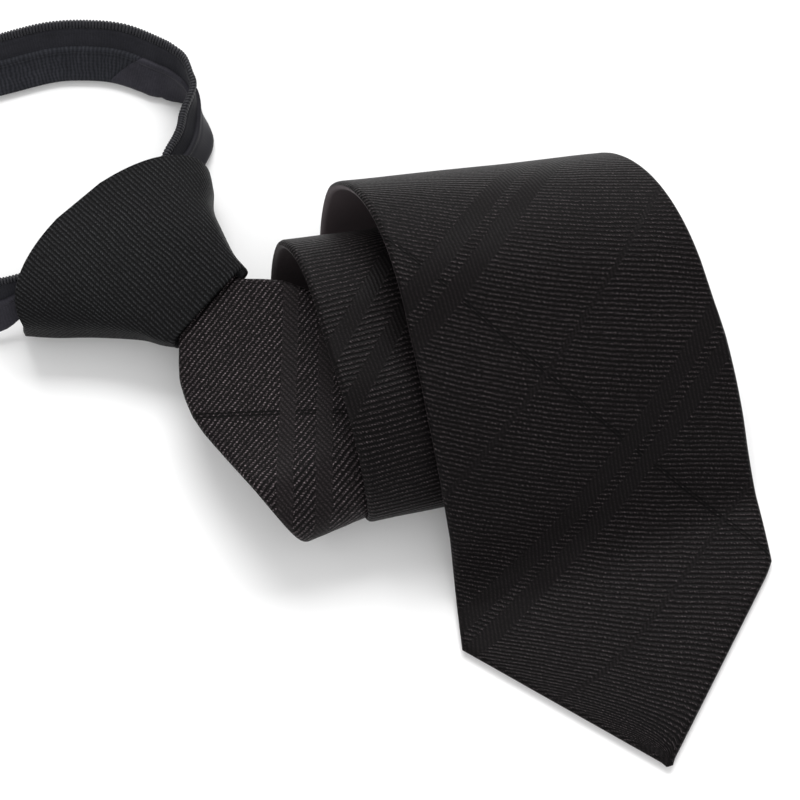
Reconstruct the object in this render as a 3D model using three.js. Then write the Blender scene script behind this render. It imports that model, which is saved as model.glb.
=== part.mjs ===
// Zipper tie lying on a table with its front up, in millimetres, +Z up, seen from -Y and above.
// The blade leaves the knot, is rolled up in two loose turns and ends in its point on top of the roll.
// The neck band stands on its edge in a loop, and a zipper tape with teeth runs along each side of it.
import * as THREE from 'three';

// Blade: a folded and padded band of cloth
const BLADE_LENGTH = 486; // from the knot's mouth to the corners of the point
const BLADE_WIDTH = 80; // at the corners of the point
const POINT_LENGTH = 42; // from the corners to the tip
const POINT_SLANT = 9; // degrees that the point is cut askew
const CLOTH = 2.6; // thickness of the folded blade
const TURN_GAP = 1.1; // air between two turns where they lie on each other
const TUCK = 8; // length of blade inside the knot

// Knot: a wrapped, tapered shell of cloth, open at both ends
const KNOT_LENGTH = 48;
const KNOT_WIDTH = 61; // between the two corners where the neck band leaves
const KNOT_THICK = 20.8; // at the neck side
const KNOT_WALL = 1.8;
const LIP_WALL = 1.2; // wall at the mouth that the blade leaves
const MOUTH_HEIGHT = 6.6;

// Neck band: it stands on its cloth edge, with the zipper along its upper edge
const BAND_HEIGHT = 17; // cloth, tape and teeth together
const BAND_THICK = 2.6;
const BAND_REACH = 172; // from the knot's right corner to the far end of the loop
const BAND_SPAN = 72; // across the loop, between its two sides
const ZIP_LENGTH = 150; // zipper on each side, from the knot
const TAPE_WIDTH = 4.6;
const TAPE_THICK = 1.0;
const TEETH_WIDTH = 1.7;
const TEETH_THICK = 2.0;
const TEETH_PITCH = 2.0;
const SEAM_AT = 60; // from the knot to the slanting seam of the band
const SEAM_SLANT = 9; // how far the seam runs along the band as it crosses it
const BAND_STEP = 3; // along the band, between two sections

// Slider: one plain piece inside the knot
const SLIDER_LENGTH = 10;
const SLIDER_WIDTH = 8;
const SLIDER_THICK = 4;

const CLEAR = 0.4; // gap between neighbouring pieces

// Where the blade leaves the knot, above the table: its middle, its heading in plan, its rise and its bank
const MOUTH_AT = new THREE.Vector3(-47.9, 26, 16.1);
const MOUTH_HEADING = -49;
const MOUTH_RISE = 10;
const MOUTH_BANK = 13.5;

// Blade widths: `at` is a share of the length from the knot, `width` a share of the full width
const WIDTHS = [
  { at: -0.03, width: 0.25 },
  { at: 0, width: 0.27 },
  { at: 0.01, width: 0.375 },
  { at: 0.018, width: 0.45 },
  { at: 0.029, width: 0.508 },
  { at: 0.039, width: 0.548 },
  { at: 0.051, width: 0.57 },
  { at: 0.072, width: 0.581 },
  { at: 0.128, width: 0.606 },
  { at: 0.272, width: 0.7 },
  { at: 0.412, width: 0.781 },
  { at: 0.704, width: 0.879 },
  { at: 0.877, width: 0.988 },
  { at: 1, width: 1 },
];

// The rolled blade, a row for each run and fold from the knot on. `run` is a share of the blade's length,
// `turn` the bend down and under in degrees, `skew` the slant of a fold's axis, `twist` the turn about the
// blade's own line and `sway` the turn within the cloth. `layer` is 1 where the blade lies on the table and 2
// where it lies on layer 1.
const FOLDS = [
  { run: 0.087, turn: 0, twist: -6 },
  { run: 0.024, turn: 10, skew: -18, twist: -6 },
  { run: 0.028, turn: 53.5, skew: -18 },
  { run: 0.043, turn: 125, skew: -18 },
  { run: 0.103, turn: 0, twist: 14.5, layer: 2 },
  { run: 0.038, turn: 109.5, skew: -6.5 },
  { run: 0.072, turn: 72, skew: -6.5, twist: -0.5 },
  { run: 0.036, turn: 0, sway: 2 },
  { run: 0.07, turn: 68, skew: -8, twist: -0.5, sway: 4 },
  { run: 0.037, turn: 110, skew: -8 },
  { run: 0.129, turn: 0, twist: 6.5, layer: 1 },
  { run: 0.039, turn: 98, skew: -4.5 },
  { run: 0.126, turn: 99, skew: -4.5, twist: 6 },
  { run: 0.027, turn: 0 },
  { run: 0.064, turn: 24, twist: 3, sway: 1 },
  { run: 0.017, turn: 0 },
  { run: 0.052, turn: -41.5, twist: 3, sway: -12 },
  { run: 0.01, turn: 0, layer: 1 },
];

const RAD = Math.PI / 180;
const STEP = 2; // along the blade, between two sections
const SLANT_REACH = 40; // length over which the sections turn to the slant of the point

const smooth = (x) => {
  const t = Math.min(1, Math.max(0, x));
  return t * t * (3 - 2 * t);
};

// Value of a table's column at a place between its rows
function lookUp(rows, key, column, place) {
  if (place <= rows[0][key]) return rows[0][column];
  for (let i = 1; i < rows.length; i += 1) {
    const before = rows[i - 1];
    const after = rows[i];
    if (place <= after[key]) {
      const share = (place - before[key]) / (after[key] - before[key]);
      return before[column] + share * (after[column] - before[column]);
    }
  }
  return rows[rows.length - 1][column];
}

// Frames along the blade's middle line: `along` runs with it, `up` is its front side and `side` lies across
function bladeFrames() {
  const heading = MOUTH_HEADING * RAD;
  const rise = MOUTH_RISE * RAD;
  const along = new THREE.Vector3(Math.cos(heading) * Math.cos(rise), Math.sin(heading) * Math.cos(rise),
    Math.sin(rise));
  const up = new THREE.Vector3(-Math.cos(heading) * Math.sin(rise), -Math.sin(heading) * Math.sin(rise),
    Math.cos(rise)).applyAxisAngle(along, MOUTH_BANK * RAD);
  const side = new THREE.Vector3().crossVectors(along, up);
  const place = MOUTH_AT.clone();
  const frames = [];
  let at = 0;
  const keep = (skew) => frames.push({ at, skew, place: place.clone(), along: along.clone(), up: up.clone(),
    side: side.clone() });
  FOLDS.forEach((fold, i) => {
    const length = fold.run * BLADE_LENGTH;
    const bent = fold.turn !== 0;
    const own = (fold.skew ?? 0) * RAD;
    const from = bent || i === 0 ? own : (FOLDS[i - 1].skew ?? 0) * RAD;
    const to = bent || i === FOLDS.length - 1 ? own : (FOLDS[i + 1].skew ?? 0) * RAD;
    const count = Math.max(1, Math.round(length / STEP));
    const step = length / count;
    for (let k = 0; k < count; k += 1) {
      const skew = from + (to - from) * (k / count);
      keep(skew);
      const axis = side.clone().addScaledVector(along, Math.tan(from + (to - from) * ((k + 0.5) / count)));
      axis.normalize();
      const angle = -(fold.turn * RAD) / count;
      const halfway = along.clone().applyAxisAngle(axis, angle / 2);
      place.addScaledVector(halfway, step);
      const twist = ((fold.twist ?? 0) * RAD) / count;
      const sway = ((fold.sway ?? 0) * RAD) / count;
      along.applyAxisAngle(axis, angle);
      up.applyAxisAngle(axis, angle).applyAxisAngle(along, twist);
      side.applyAxisAngle(axis, angle).applyAxisAngle(along, twist).applyAxisAngle(up, sway);
      along.applyAxisAngle(up, sway);
      at += step;
    }
  });
  keep(0);
  return frames;
}

const frames = bladeFrames();

function frameAt(at) {
  const last = frames.length - 1;
  let i = 0;
  while (i < last - 1 && frames[i + 1].at < at) i += 1;
  const a = frames[i];
  const b = frames[i + 1];
  const share = Math.min(1, Math.max(0, (at - a.at) / (b.at - a.at)));
  return {
    place: a.place.clone().lerp(b.place, share),
    along: a.along.clone().lerp(b.along, share).normalize(),
    up: a.up.clone().lerp(b.up, share).normalize(),
    side: a.side.clone().lerp(b.side, share).normalize(),
    skew: a.skew + (b.skew - a.skew) * share,
    over: at < 0 ? at : Math.max(0, at - frames[last].at),
  };
}

// Where each row starts along the blade
const foldStarts = [0];
FOLDS.forEach((fold) => foldStarts.push(foldStarts[foldStarts.length - 1] + fold.run * BLADE_LENGTH));

const layerHeight = (layer) => CLOTH / 2 + (layer - 1) * (CLOTH + TURN_GAP);

// Point of the blade's middle surface, `across` from its middle line. Runs with a layer are laid level.
function bladePoint(at, across) {
  let ruled = at;
  for (let k = 0; k < 24; k += 1) {
    ruled = 0.5 * ruled + 0.5 * (at - across * Math.tan(frameAt(ruled).skew));
  }
  const f = frameAt(ruled);
  const point = f.place.clone().addScaledVector(f.along, f.over);
  point.addScaledVector(f.side, across).addScaledVector(f.along, across * Math.tan(f.skew));
  FOLDS.forEach((fold, i) => {
    if (!fold.layer) return;
    const start = foldStarts[i];
    const end = foldStarts[i + 1];
    const rising = smooth((at - foldStarts[i - 1]) / (start - foldStarts[i - 1]));
    const isLast = i === FOLDS.length - 1;
    const falling = isLast ? 1 : 1 - smooth((at - end) / (foldStarts[i + 2] - end));
    point.z += (layerHeight(fold.layer) - point.z) * rising * falling;
  });
  const over = point.z - layerHeight(1);
  point.z = layerHeight(1) + 0.5 * (over + Math.sqrt(over * over + 0.04));
  return point;
}

function bladeWidth(at) {
  if (at > BLADE_LENGTH) return BLADE_WIDTH * Math.max(0.02, 1 - (at - BLADE_LENGTH) / POINT_LENGTH);
  return BLADE_WIDTH * lookUp(WIDTHS, 'at', 'width', at / BLADE_LENGTH);
}

// Closed body through rings that all have the same even count of points, mirrored about their middle
function loft(rings) {
  const count = rings[0].length;
  const points = [];
  const faces = [];
  rings.forEach((ring) => ring.forEach((p) => points.push(p.x, p.y, p.z)));
  for (let r = 0; r + 1 < rings.length; r += 1) {
    for (let k = 0; k < count; k += 1) {
      const a = r * count + k;
      const b = r * count + ((k + 1) % count);
      faces.push(a, b, b + count, a, b + count, a + count);
    }
  }
  const last = (rings.length - 1) * count;
  for (let k = 0; k + 1 < count / 2; k += 1) {
    const far = count - 1 - k;
    faces.push(k, far, far - 1, k, far - 1, k + 1);
    faces.push(last + k, last + far - 1, last + far, last + k, last + k + 1, last + far - 1);
  }
  return body(points, faces);
}

// Closed tube wall between outer and inner rings, open at both ends
function shell(outer, inner) {
  const count = outer[0].length;
  const points = [];
  const faces = [];
  [...outer, ...inner].forEach((ring) => ring.forEach((p) => points.push(p.x, p.y, p.z)));
  const base = outer.length * count;
  for (let r = 0; r + 1 < outer.length; r += 1) {
    for (let k = 0; k < count; k += 1) {
      const next = (k + 1) % count;
      const a = r * count + k;
      const b = r * count + next;
      faces.push(a, b, b + count, a, b + count, a + count);
      faces.push(base + a, base + b + count, base + b, base + a, base + a + count, base + b + count);
    }
  }
  const end = (outer.length - 1) * count;
  for (let k = 0; k < count; k += 1) {
    const next = (k + 1) % count;
    faces.push(k, base + next, next, k, base + k, base + next);
    faces.push(end + k, end + next, base + end + next, end + k, base + end + next, base + end + k);
  }
  return body(points, faces);
}

function body(points, faces) {
  const geometry = new THREE.BufferGeometry();
  geometry.setAttribute('position', new THREE.Float32BufferAttribute(points, 3));
  geometry.setIndex(signedVolume(points, faces) < 0 ? turned(faces) : faces);
  geometry.computeVertexNormals();
  return geometry;
}

function signedVolume(points, faces) {
  const corner = (i) => new THREE.Vector3(points[3 * i], points[3 * i + 1], points[3 * i + 2]);
  let volume = 0;
  for (let i = 0; i < faces.length; i += 3) {
    const [a, b, c] = [corner(faces[i]), corner(faces[i + 1]), corner(faces[i + 2])];
    volume += a.dot(b.cross(c)) / 6;
  }
  return volume;
}

function turned(faces) {
  const out = [];
  for (let i = 0; i < faces.length; i += 3) out.push(faces[i], faces[i + 2], faces[i + 1]);
  return out;
}

// Blade: a flat section with soft edges, swept along the roll. `share` is across, `thick` a share of it
const BLADE_SECTION = [
  { share: -1.0, thick: 0.45 },
  { share: -0.97, thick: 0.95 },
  { share: -0.66, thick: 1.0 },
  { share: -0.33, thick: 1.0 },
  { share: 0.0, thick: 1.0 },
  { share: 0.33, thick: 1.0 },
  { share: 0.66, thick: 1.0 },
  { share: 0.97, thick: 0.95 },
  { share: 1.0, thick: 0.45 },
];

// Point of the blade when its end is cut askew: the left corner lies further along than the right one
function cutPoint(at, across) {
  const share = smooth((at - BLADE_LENGTH) / SLANT_REACH + 1);
  const over = Math.max(0, at - BLADE_LENGTH);
  const slant = POINT_SLANT * RAD;
  const along = Math.min(at, BLADE_LENGTH) + over * Math.cos(slant) + across * Math.sin(slant) * share;
  return bladePoint(along, across - over * Math.sin(slant));
}

function bladeRing(at) {
  const half = bladeWidth(at) / 2;
  const reach = 0.5;
  const top = [];
  const bottom = [];
  BLADE_SECTION.forEach(({ share, thick }) => {
    const across = share * half;
    const point = cutPoint(at, across);
    const ahead = cutPoint(at + reach, across).sub(cutPoint(at - reach, across));
    const aside = cutPoint(at, across + reach).sub(cutPoint(at, across - reach));
    const normal = ahead.cross(aside).normalize().multiplyScalar(-1);
    top.push(point.clone().addScaledVector(normal, -0.5 * thick * CLOTH));
    bottom.unshift(point.clone().addScaledVector(normal, 0.5 * thick * CLOTH));
  });
  return [...top, ...bottom];
}

function bladeBody() {
  const stops = [];
  for (let at = -TUCK; at < 0; at += 5) stops.push(at);
  FOLDS.forEach((fold, i) => {
    const length = fold.run * BLADE_LENGTH;
    const bend = Math.abs(fold.turn) / 9;
    const count = Math.max(1, Math.ceil(Math.max(length / 10, bend)));
    for (let k = 0; k < count; k += 1) stops.push(foldStarts[i] + (length * k) / count);
  });
  [2.5, 5, 9, 14, 19].forEach((near) => stops.push(near));
  stops.sort((a, b) => a - b);
  const spaced = stops.filter((at, i) => i === 0 || at - stops[i - 1] > 1.2);
  const pointSteps = 4;
  for (let k = 0; k <= pointSteps; k += 1) spaced.push(BLADE_LENGTH + (POINT_LENGTH * k) / pointSteps);
  return loft(spaced.map(bladeRing));
}

// Knot: sections from the mouth (0) to the neck side (1). `right` and `left` are the section's ends, in
// shares of the width off the knot's line, and `rightAt` and `leftAt` in shares of its length along it.
// `bulge` is how far the section bows towards the neck, and `thick` its height as a share.
const KNOT_HEADING = 150;
const KNOT = [
  { rightAt: -0.055, right: -0.216, leftAt: 0.08, left: 0.199, bulge: 0, thick: 0.32, lift: 1 },
  { rightAt: 0.05, right: -0.25, leftAt: 0.15, left: 0.215, bulge: 0.02, thick: 0.42, lift: 0.93 },
  { rightAt: 0.18, right: -0.325, leftAt: 0.275, left: 0.232, bulge: 0.06, thick: 0.6, lift: 0.72 },
  { rightAt: 0.3, right: -0.41, leftAt: 0.49, left: 0.304, bulge: 0.13, thick: 0.82, lift: 0.3 },
  { rightAt: 0.375, right: -0.503, leftAt: 0.67, left: 0.385, bulge: 0.205, thick: 0.96, lift: 0.06 },
  { rightAt: 0.432, right: -0.553, leftAt: 0.805, left: 0.44, bulge: 0.295, thick: 1, lift: 0 },
];
const KNOT_SIDES = 32; // points round a section
const BOW_POWER = 1.9; // how square the bowed sections are in plan
const SECTION_POWER = 5; // how square the sections are across their thickness

const knotAxis = new THREE.Vector3(Math.cos(KNOT_HEADING * RAD), Math.sin(KNOT_HEADING * RAD), 0);
const knotSide = new THREE.Vector3(-knotAxis.y, knotAxis.x, 0);

const power = (value, exponent) => Math.sign(value) * Math.abs(value) ** exponent;

function knotRing(row, wall) {
  const mouth = frames[0];
  const height = Math.max(MOUTH_HEIGHT, row.thick * KNOT_THICK);
  const middle = row.lift * MOUTH_AT.z + (1 - row.lift) * (KNOT_THICK / 2);
  const rest = Math.max(middle, height / 2);
  const end = (along, across) => new THREE.Vector3(MOUTH_AT.x, MOUTH_AT.y, rest)
    .addScaledVector(knotAxis, along * KNOT_LENGTH).addScaledVector(knotSide, across * KNOT_WIDTH);
  const right = end(row.rightAt, row.right);
  const left = end(row.leftAt, row.left);
  const tilt = Math.tan(MOUTH_BANK * RAD) * row.lift;
  const chord = left.clone().sub(right);
  const half = chord.length() / 2;
  const direction = chord.clone().normalize();
  const bow = new THREE.Vector3(direction.y, -direction.x, 0);
  if (bow.dot(knotAxis) < 0) bow.negate();
  const up = new THREE.Vector3(0, 0, 1).lerp(mouth.up, row.lift).normalize();
  const middlePoint = right.clone().lerp(left, 0.5);
  const ring = [];
  for (let k = 0; k < KNOT_SIDES; k += 1) {
    const angle = (2 * Math.PI * (k + 0.5)) / KNOT_SIDES;
    const across = power(Math.cos(angle), 2 / SECTION_POWER);
    const rise = power(Math.sin(angle), 2 / SECTION_POWER);
    const bowed = (1 - Math.abs(across) ** BOW_POWER) ** (1 / BOW_POWER);
    const point = middlePoint.clone().addScaledVector(direction, across * (half - wall));
    point.addScaledVector(bow, bowed * Math.max(0, row.bulge * KNOT_LENGTH));
    point.addScaledVector(up, rise * (height / 2 - wall));
    point.z -= tilt * across * (half - wall);
    ring.push(point);
  }
  return ring;
}

function knotBody() {
  const wallOf = (row) => LIP_WALL + (KNOT_WALL - LIP_WALL) * (1 - row.lift);
  return shell(KNOT.map((row) => knotRing(row, 0)), KNOT.map((row) => knotRing(row, wallOf(row))));
}

// Neck band: the middle of its height, from inside the knot's right corner round to inside its left corner.
// `from` is 0 at the right corner and 1 at the left one, `x` is a share of the reach and `y` of the span,
// `lean` is how far the upper edge leans out in degrees, `high` the share of the full height and `lift` how
// far its foot is off the table, as a share of that height.
const BAND = [
  { from: 0, x: -0.008, y: -0.088, lean: -28, high: 0.58, lift: 0.35 },
  { from: 0, x: -0.004, y: 0, lean: -28, high: 0.62, lift: 0.33 },
  { from: 0, x: -0.004, y: 0.1, lean: -29, high: 0.7, lift: 0.33 },
  { from: 0, x: 0.016, y: 0.2, lean: -27, high: 0.9, lift: 0.08 },
  { from: 0, x: 0.024, y: 0.274, lean: -25, high: 1, lift: 0 },
  { from: 0, x: 0.017, y: 0.433, lean: 4, high: 1, lift: 0 },
  { from: 0, x: -0.015, y: 0.51, lean: 28, high: 1, lift: 0 },
  { from: 0, x: -0.038, y: 0.54, lean: 38, high: 1, lift: 0 },
  { from: 0, x: -0.096, y: 0.6, lean: 42, high: 1, lift: 0 },
  { from: 0, x: -0.148, y: 0.614, lean: 41, high: 1, lift: 0 },
  { from: 0, x: -0.202, y: 0.606, lean: 40, high: 1, lift: 0 },
  { from: 0, x: -0.276, y: 0.556, lean: 39, high: 1, lift: 0 },
  { from: 0, x: -0.387, y: 0.475, lean: 34, high: 1, lift: 0 },
  { from: 0, x: -0.561, y: 0.357, lean: 26, high: 1, lift: 0 },
  { from: 0, x: -0.765, y: 0.239, lean: 18, high: 1, lift: 0 },
  { from: 0, x: -0.951, y: 0.107, lean: 10, high: 1, lift: 0 },
  { from: 1, x: -0.88, y: 0.247, lean: 2, high: 1, lift: 0 },
  { from: 1, x: -0.822, y: 0.011, lean: -6, high: 1, lift: 0 },
  { from: 1, x: -0.688, y: -0.1, lean: -14, high: 1, lift: 0 },
  { from: 1, x: -0.473, y: -0.114, lean: -22, high: 1, lift: 0 },
  { from: 1, x: -0.27, y: -0.072, lean: -30, high: 1, lift: 0 },
  { from: 1, x: -0.142, y: -0.05, lean: -36, high: 1, lift: 0.01 },
  { from: 1, x: -0.055, y: -0.032, lean: -36, high: 0.9, lift: 0.11 },
  { from: 1, x: 0, y: 0.02, lean: -30, high: 0.64, lift: 0.32 },
  { from: 1, x: 0.044, y: 0.05, lean: -28, high: 0.58, lift: 0.34 },
];

// The two corners of the knot's neck side, where the band leaves it
const neckRow = KNOT[KNOT.length - 1];
const CORNER_INSET = 9; // from the knot's outline to the middle of the band
const cornerAt = (along, across, inset) => new THREE.Vector3(MOUTH_AT.x, MOUTH_AT.y, 0)
  .addScaledVector(knotAxis, along * KNOT_LENGTH).addScaledVector(knotSide, across * KNOT_WIDTH + inset);
const rightCorner = cornerAt(neckRow.rightAt + 0.1, neckRow.right, CORNER_INSET);
const leftCorner = cornerAt(neckRow.leftAt + 0.1, neckRow.left, -CORNER_INSET);

const bandLine = new THREE.CatmullRomCurve3(BAND.map((row) => rightCorner.clone().lerp(leftCorner, row.from)
  .add(new THREE.Vector3(row.x * BAND_REACH, row.y * BAND_SPAN, 0))), false, 'centripetal');
const BAND_SAMPLES = 400;
bandLine.arcLengthDivisions = BAND_SAMPLES;
const bandLength = bandLine.getLength();
const bandShares = bandLine.getLengths(BAND_SAMPLES);

// Where each row of the band's table lies along the band, as a length
const bandStops = BAND.map((row, i) => {
  const place = (i / (BAND.length - 1)) * BAND_SAMPLES;
  const below = Math.floor(place);
  const above = Math.min(BAND_SAMPLES, below + 1);
  return { ...row, at: bandShares[below] + (place - below) * (bandShares[above] - bandShares[below]) };
});

// Point of the band's section: `high` from 0 at the cloth edge to 1 at the teeth's edge, `out` off its middle
function bandPoint(at, high, out) {
  const share = Math.min(1, Math.max(0, at / bandLength));
  const place = bandLine.getPointAt(share);
  const along = bandLine.getTangentAt(share);
  const outward = new THREE.Vector3(along.y, -along.x, 0).normalize();
  const value = (column) => {
    const i = Math.max(1, bandStops.findIndex((stop) => stop.at >= at));
    const [a, b] = [bandStops[i - 1], bandStops[i]];
    return a[column] + (b[column] - a[column]) * smooth((at - a.at) / (b.at - a.at));
  };
  const lean = value('lean') * RAD;
  const height = value('high') * BAND_HEIGHT;
  const upward = outward.clone().multiplyScalar(Math.sin(lean)).setZ(Math.cos(lean));
  const across = outward.clone().multiplyScalar(Math.cos(lean)).setZ(-Math.sin(lean));
  const foot = value('lift') * BAND_HEIGHT + (BAND_THICK / 2) * Math.abs(Math.sin(lean));
  place.z = foot + (height / 2) * Math.cos(lean);
  return place.addScaledVector(upward, (high - 0.5) * height).addScaledVector(across, out);
}

const TAPE_TOP = 1 - (TEETH_WIDTH + CLEAR) / BAND_HEIGHT;
const TAPE_FOOT = TAPE_TOP - TAPE_WIDTH / BAND_HEIGHT;
const CLOTH_TOP = TAPE_FOOT - CLEAR / BAND_HEIGHT;
const PLAIN_TOP = 0.94; // height of the band behind the neck, past the zipper
const BAND_SECTION = [
  { high: 0.0, out: 0.5 },
  { high: 0.12, out: 1.0 },
  { high: 0.88, out: 1.0 },
  { high: 1.0, out: 0.55 },
];

// Cloth of the band between two places. An end at a seam is slanted.
function clothBody(start, end, slantStart, slantEnd) {
  const count = Math.ceil((end - start) / BAND_STEP);
  const rings = [];
  for (let k = 0; k <= count; k += 1) {
    const at = start + ((end - start) * k) / count;
    const fromZip = Math.min(at, bandLength - at) - ZIP_LENGTH;
    const top = CLOTH_TOP + (PLAIN_TOP - CLOTH_TOP) * smooth(fromZip / 25);
    const slant = (high) => (0.5 - high) * SEAM_SLANT * (slantStart * smooth(1 - (at - start) / 15)
      + slantEnd * smooth(1 - (end - at) / 15));
    const side = (sign) => BAND_SECTION.map(({ high, out }) => bandPoint(at + slant(high), high * top,
      (sign * out * BAND_THICK) / 2));
    rings.push([...side(1), ...side(-1).reverse()]);
  }
  return loft(rings);
}

// A flat strip of the band, such as the tape, or the toothed edge where `teeth` is set
function stripBody(start, end, foot, top, thick, spacing, teeth) {
  const count = Math.round((end - start) / spacing);
  const rings = [];
  for (let k = 0; k <= count; k += 1) {
    const at = start + ((end - start) * k) / count;
    const edge = teeth && k % 2 === 0 ? foot + 0.45 * (top - foot) : top;
    const side = (sign) => [foot, edge].map((high) => bandPoint(at, high, (sign * thick) / 2));
    rings.push([...side(1), ...side(-1).reverse()]);
  }
  return loft(rings);
}

// Slider: a plain shield-shaped block that lies in the knot
function sliderBody() {
  const half = SLIDER_WIDTH / 2;
  const outline = new THREE.Shape();
  outline.moveTo(-half * 0.55, -SLIDER_LENGTH / 2);
  outline.lineTo(half * 0.55, -SLIDER_LENGTH / 2);
  outline.lineTo(half, SLIDER_LENGTH * 0.1);
  outline.absarc(0, SLIDER_LENGTH * 0.1, half, 0, Math.PI, false);
  outline.lineTo(-half * 0.55, -SLIDER_LENGTH / 2);
  return new THREE.ExtrudeGeometry(outline, { depth: SLIDER_THICK, bevelEnabled: false, curveSegments: 10 });
}

const finish = {
  blade: { color: 0x29262a, roughness: 0.62 },
  knot: { color: 0x232427, roughness: 0.68 },
  strap: { color: 0x2b2b2f, roughness: 0.6 },
  lining: { color: 0x25262b, roughness: 0.72 },
  tape: { color: 0x29292e, roughness: 0.8 },
  teeth: { color: 0x2f3034, roughness: 0.45 },
  slider: { color: 0x3a3a3e, roughness: 0.35, metalness: 0.9 },
};

const tie = new THREE.Group();

function add(name, geometry, look) {
  const mesh = new THREE.Mesh(geometry, new THREE.MeshStandardMaterial({ metalness: 0, ...finish[look] }));
  mesh.name = name;
  tie.add(mesh);
  return mesh;
}

add('blade', bladeBody(), 'blade');
add('knot', knotBody(), 'knot');

const seamRight = SEAM_AT;
const seamLeft = bandLength - SEAM_AT;
add('strap_right', clothBody(0, seamRight - 0.7 * CLEAR, 0, 1), 'strap');
add('strap_back', clothBody(seamRight + 0.7 * CLEAR, seamLeft - 0.7 * CLEAR, 1, -1), 'lining');
add('strap_left', clothBody(seamLeft + 0.7 * CLEAR, bandLength, -1, 0), 'strap');
[['right', 0, ZIP_LENGTH], ['left', bandLength - ZIP_LENGTH, bandLength]].forEach(([hand, start, end]) => {
  add(`zip_tape_${hand}`, stripBody(start, end, TAPE_FOOT, TAPE_TOP, TAPE_THICK, BAND_STEP, false), 'tape');
  const teethFoot = TAPE_TOP + CLEAR / BAND_HEIGHT;
  add(`zip_teeth_${hand}`, stripBody(start, end, teethFoot, 1, TEETH_THICK, TEETH_PITCH / 2, true), 'teeth');
});

const slider = add('zip_slider', sliderBody(), 'slider');
slider.position.copy(MOUTH_AT).addScaledVector(knotAxis, 0.8 * KNOT_LENGTH);
slider.position.z = KNOT_WALL + 1.8;
slider.rotation.z = (KNOT_HEADING - 90) * RAD;

// The origin is the middle of the underside of the whole tie's box
tie.updateMatrixWorld(true);
const box = new THREE.Box3().setFromObject(tie, true);
tie.position.set(-(box.min.x + box.max.x) / 2, -(box.min.y + box.max.y) / 2, -box.min.z);

export default tie;
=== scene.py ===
"""Zipper tie on a pale surface: the rolled blade, the knot, the neck band and its zipper, in metres."""
import bpy
from bisect import bisect_right
from collections import namedtuple
from math import cos, floor, pi, radians, sin, sqrt, tan
from mathutils import Matrix, Vector, noise

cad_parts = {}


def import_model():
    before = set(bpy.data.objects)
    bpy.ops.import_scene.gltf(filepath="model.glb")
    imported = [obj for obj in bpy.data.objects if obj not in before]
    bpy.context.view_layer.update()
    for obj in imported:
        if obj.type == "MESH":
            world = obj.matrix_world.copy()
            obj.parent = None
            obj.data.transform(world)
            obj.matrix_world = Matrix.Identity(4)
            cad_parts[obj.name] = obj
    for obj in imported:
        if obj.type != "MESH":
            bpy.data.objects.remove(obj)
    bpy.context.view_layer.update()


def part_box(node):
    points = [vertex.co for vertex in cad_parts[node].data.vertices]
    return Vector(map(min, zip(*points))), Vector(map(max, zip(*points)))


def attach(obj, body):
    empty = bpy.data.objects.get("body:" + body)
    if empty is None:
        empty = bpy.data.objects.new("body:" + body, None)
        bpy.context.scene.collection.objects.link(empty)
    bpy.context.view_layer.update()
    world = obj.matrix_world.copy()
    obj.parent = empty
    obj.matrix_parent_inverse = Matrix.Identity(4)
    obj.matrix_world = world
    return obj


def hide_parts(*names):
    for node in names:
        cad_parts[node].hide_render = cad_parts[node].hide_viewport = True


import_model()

MM = 0.001

# ---- Sizes in millimetres, the same as in the part's source

BLADE_LENGTH = 486
BLADE_WIDTH = 80
POINT_LENGTH = 42
POINT_SLANT = 9  # degrees that the point is cut askew
SLANT_REACH = 40
CLOTH = 2.6
TURN_GAP = 1.1  # air between two turns that lie on each other
TUCK = 8  # how far the blade goes on into the knot

KNOT_LENGTH = 48
KNOT_WIDTH = 61
KNOT_THICK = 20.8
KNOT_WALL = 1.8
LIP_WALL = 1.2
MOUTH_HEIGHT = 6.6
KNOT_HEADING = 150
BOW_POWER = 1.9  # roundness of the bow in the knot's outline
SECTION_POWER = 5  # squareness of its section
CORNER_INSET = 9  # from its side edge to where the neck band enters
CORNER_BACK = 0.1  # and how far behind the knot that is, as a share of its length

BAND_HEIGHT = 17
BAND_THICK = 2.6
BAND_REACH = 172
BAND_SPAN = 72
ZIP_LENGTH = 150
TAPE_WIDTH = 4.6
TAPE_THICK = 1.0
TEETH_WIDTH = 1.7
TEETH_THICK = 2.0
TOOTH_PITCH = 0.8
SEAM_AT = 60
SEAM_SLANT = 9
SEAM_LAP = 0.5  # the zipped sides lap over the plain band's ends
CLEAR = 0.4  # between the cloth, the tape and the teeth

MOUTH_AT = Vector((-47.9, 26, 16.1))
MOUTH_HEADING = radians(-49)
MOUTH_RISE = radians(10)
MOUTH_BANK = radians(13.5)

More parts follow.
